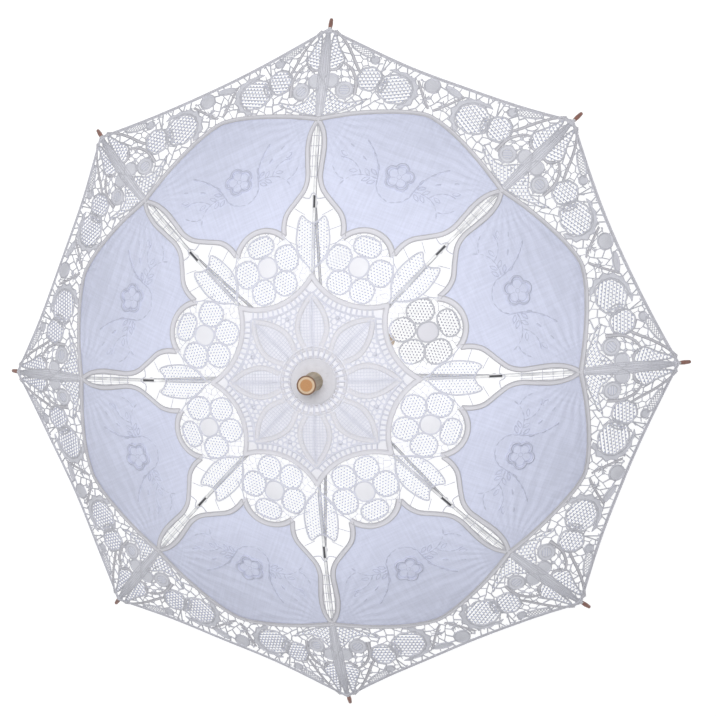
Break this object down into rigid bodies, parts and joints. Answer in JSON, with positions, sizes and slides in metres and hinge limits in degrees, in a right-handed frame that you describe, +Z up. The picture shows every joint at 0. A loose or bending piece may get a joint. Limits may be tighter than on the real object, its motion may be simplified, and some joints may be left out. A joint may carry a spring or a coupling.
{
  "type": "lace parasol",
  "caption": "Hand-held parasol with a lace canopy on fluted ribs that folds by a sliding runner on a wooden shaft.",
  "frame": {"origin": "middle of the handle's straight grip, on the shaft's axis", "axes": "+Z up the shaft towards the ferrule; rib 1 lies along +X"},
  "size_m": [0.8014, 0.8014, 0.6397],
  "materials": {
    "cotton": "matt woven cotton",
    "lace_tape": "matt woven tape",
    "lace_thread": "matt cotton thread",
    "shaft_wood": "clear varnish",
    "ferrule_wood": "satin, end grain on top",
    "handle_wood": "satin varnish",
    "tip_wood": "satin stained",
    "nickel": "nickel plated",
    "rib_steel": "plated fluted steel",
    "dark_steel": "blackened steel",
    "steel_wire": "drawn wire",
    "spring_steel": "blued spring steel",
    "collar_brass": "satin"
  },
  "bodies": {
    "shaft_and_handle": {"shaft": "shaft_wood", "ferrule": "ferrule_wood", "canopy_cap": "cotton", "top_notch": "nickel", "notch_wire": "steel_wire", "stop_pin": "steel_wire", "handle": "handle_wood", "handle_collar": "collar_brass"},
    "runner": {"runner": "nickel", "runner_wire": "steel_wire"},
    "top_catch": {"top_spring": "spring_steel"},
    "bottom_catch": {"bottom_spring": "spring_steel"},
    "rib_1": {"rib_1": "rib_steel", "joiner_1": "dark_steel", "rivet_1": "dark_steel", "tip_1": "tip_wood", "canopy_1": "cotton"},
    "stretcher_1": {"stretcher_1": "rib_steel"},
    "rib_2": {"rib_2": "rib_steel", "joiner_2": "dark_steel", "rivet_2": "dark_steel", "tip_2": "tip_wood", "canopy_2": "cotton"},
    "stretcher_2": {"stretcher_2": "rib_steel"},
    "rib_3": {"rib_3": "rib_steel", "joiner_3": "dark_steel", "rivet_3": "dark_steel", "tip_3": "tip_wood", "canopy_3": "cotton"},
    "stretcher_3": {"stretcher_3": "rib_steel"},
    "rib_4": {"rib_4": "rib_steel", "joiner_4": "dark_steel", "rivet_4": "dark_steel", "tip_4": "tip_wood", "canopy_4": "cotton"},
    "stretcher_4": {"stretcher_4": "rib_steel"},
    "rib_5": {"rib_5": "rib_steel", "joiner_5": "dark_steel", "rivet_5": "dark_steel", "tip_5": "tip_wood", "canopy_5": "cotton"},
    "stretcher_5": {"stretcher_5": "rib_steel"},
    "rib_6": {"rib_6": "rib_steel", "joiner_6": "dark_steel", "rivet_6": "dark_steel", "tip_6": "tip_wood", "canopy_6": "cotton"},
    "stretcher_6": {"stretcher_6": "rib_steel"},
    "rib_7": {"rib_7": "rib_steel", "joiner_7": "dark_steel", "rivet_7": "dark_steel", "tip_7": "tip_wood", "canopy_7": "cotton"},
    "stretcher_7": {"stretcher_7": "rib_steel"},
    "rib_8": {"rib_8": "rib_steel", "joiner_8": "dark_steel", "rivet_8": "dark_steel", "tip_8": "tip_wood", "canopy_8": "cotton"},
    "stretcher_8": {"stretcher_8": "rib_steel"}
  },
  "joints": [
    {"name": "runner_slide", "type": "slide", "parent": "shaft_and_handle", "child": "runner", "axis": [0, 0, -1], "range_m": [0, 0.28502], "deforming": ["top_spring", "bottom_spring"]},
    {"name": "rib_1_hinge", "type": "hinge", "parent": "shaft_and_handle", "child": "rib_1", "pos_m": [0.0089, 0, 0.53897], "axis": [0, 1, 0], "range_deg": [0, 65.04], "deforming": ["canopy_1"]},
    {"name": "stretcher_1_hinge", "type": "hinge", "parent": "rib_1", "child": "stretcher_1", "pos_m": [0.189, 0, 0.50305], "axis": [0, 1, 0], "range_deg": [-130.08, 0]},
    {"name": "rib_2_hinge", "type": "hinge", "parent": "shaft_and_handle", "child": "rib_2", "pos_m": [0.00629, 0.00629, 0.53897], "axis": [-0.7071, 0.7071, 0], "range_deg": [0, 65.04], "deforming": ["canopy_2"]},
    {"name": "stretcher_2_hinge", "type": "hinge", "parent": "rib_2", "child": "stretcher_2", "pos_m": [0.13364, 0.13364, 0.50305], "axis": [-0.7071, 0.7071, 0], "range_deg": [-130.08, 0]},
    {"name": "rib_3_hinge", "type": "hinge", "parent": "shaft_and_handle", "child": "rib_3", "pos_m": [0, 0.0089, 0.53897], "axis": [-1, 0, 0], "range_deg": [0, 65.04], "deforming": ["canopy_3"]},
    {"name": "stretcher_3_hinge", "type": "hinge", "parent": "rib_3", "child": "stretcher_3", "pos_m": [0, 0.189, 0.50305], "axis": [-1, 0, 0], "range_deg": [-130.08, 0]},
    {"name": "rib_4_hinge", "type": "hinge", "parent": "shaft_and_handle", "child": "rib_4", "pos_m": [-0.00629, 0.00629, 0.53897], "axis": [-0.7071, -0.7071, 0], "range_deg": [0, 65.04], "deforming": ["canopy_4"]},
    {"name": "stretcher_4_hinge", "type": "hinge", "parent": "rib_4", "child": "stretcher_4", "pos_m": [-0.13364, 0.13364, 0.50305], "axis": [-0.7071, -0.7071, 0], "range_deg": [-130.08, 0]},
    {"name": "rib_5_hinge", "type": "hinge", "parent": "shaft_and_handle", "child": "rib_5", "pos_m": [-0.0089, 0, 0.53897], "axis": [0, -1, 0], "range_deg": [0, 65.04], "deforming": ["canopy_5"]},
    {"name": "stretcher_5_hinge", "type": "hinge", "parent": "rib_5", "child": "stretcher_5", "pos_m": [-0.189, 0, 0.50305], "axis": [0, -1, 0], "range_deg": [-130.08, 0]},
    {"name": "rib_6_hinge", "type": "hinge", "parent": "shaft_and_handle", "child": "rib_6", "pos_m": [-0.00629, -0.00629, 0.53897], "axis": [0.7071, -0.7071, 0], "range_deg": [0, 65.04], "deforming": ["canopy_6"]},
    {"name": "stretcher_6_hinge", "type": "hinge", "parent": "rib_6", "child": "stretcher_6", "pos_m": [-0.13364, -0.13364, 0.50305], "axis": [0.7071, -0.7071, 0], "range_deg": [-130.08, 0]},
    {"name": "rib_7_hinge", "type": "hinge", "parent": "shaft_and_handle", "child": "rib_7", "pos_m": [0, -0.0089, 0.53897], "axis": [1, 0, 0], "range_deg": [0, 65.04], "deforming": ["canopy_7"]},
    {"name": "stretcher_7_hinge", "type": "hinge", "parent": "rib_7", "child": "stretcher_7", "pos_m": [0, -0.189, 0.50305], "axis": [1, 0, 0], "range_deg": [-130.08, 0]},
    {"name": "rib_8_hinge", "type": "hinge", "parent": "shaft_and_handle", "child": "rib_8", "pos_m": [0.00629, -0.00629, 0.53897], "axis": [0.7071, 0.7071, 0], "range_deg": [0, 65.04], "deforming": ["canopy_8"]},
    {"name": "stretcher_8_hinge", "type": "hinge", "parent": "rib_8", "child": "stretcher_8", "pos_m": [0.13364, -0.13364, 0.50305], "axis": [0.7071, 0.7071, 0], "range_deg": [-130.08, 0]},
    {"name": "top_catch_press", "type": "hinge", "parent": "shaft_and_handle", "child": "top_catch", "pos_m": [0.00314, 0.0013, 0.36562], "axis": [0.3827, -0.9239, 0], "range_deg": [0, 3.24], "stiffness_Nm_per_rad": 0.4},
    {"name": "bottom_catch_press", "type": "hinge", "parent": "shaft_and_handle", "child": "bottom_catch", "pos_m": [0.00314, 0.0013, 0.1489], "axis": [-0.3827, 0.9239, 0], "range_deg": [0, 3.24], "stiffness_Nm_per_rad": 0.4}
  ],
  "couplings": [
    {"joint": "rib_1_hinge", "follows": "runner_slide", "rad_per_m": 3.9821},
    {"joint": "stretcher_1_hinge", "follows": "runner_slide", "rad_per_m": -7.9641},
    {"joint": "rib_2_hinge", "follows": "runner_slide", "rad_per_m": 3.9821},
    {"joint": "stretcher_2_hinge", "follows": "runner_slide", "rad_per_m": -7.9641},
    {"joint": "rib_3_hinge", "follows": "runner_slide", "rad_per_m": 3.9821},
    {"joint": "stretcher_3_hinge", "follows": "runner_slide", "rad_per_m": -7.9641},
    {"joint": "rib_4_hinge", "follows": "runner_slide", "rad_per_m": 3.9821},
    {"joint": "stretcher_4_hinge", "follows": "runner_slide", "rad_per_m": -7.9641},
    {"joint": "rib_5_hinge", "follows": "runner_slide", "rad_per_m": 3.9821},
    {"joint": "stretcher_5_hinge", "follows": "runner_slide", "rad_per_m": -7.9641},
    {"joint": "rib_6_hinge", "follows": "runner_slide", "rad_per_m": 3.9821},
    {"joint": "stretcher_6_hinge", "follows": "runner_slide", "rad_per_m": -7.9641},
    {"joint": "rib_7_hinge", "follows": "runner_slide", "rad_per_m": 3.9821},
    {"joint": "stretcher_7_hinge", "follows": "runner_slide", "rad_per_m": -7.9641},
    {"joint": "rib_8_hinge", "follows": "runner_slide", "rad_per_m": 3.9821},
    {"joint": "stretcher_8_hinge", "follows": "runner_slide", "rad_per_m": -7.9641}
  ]
}
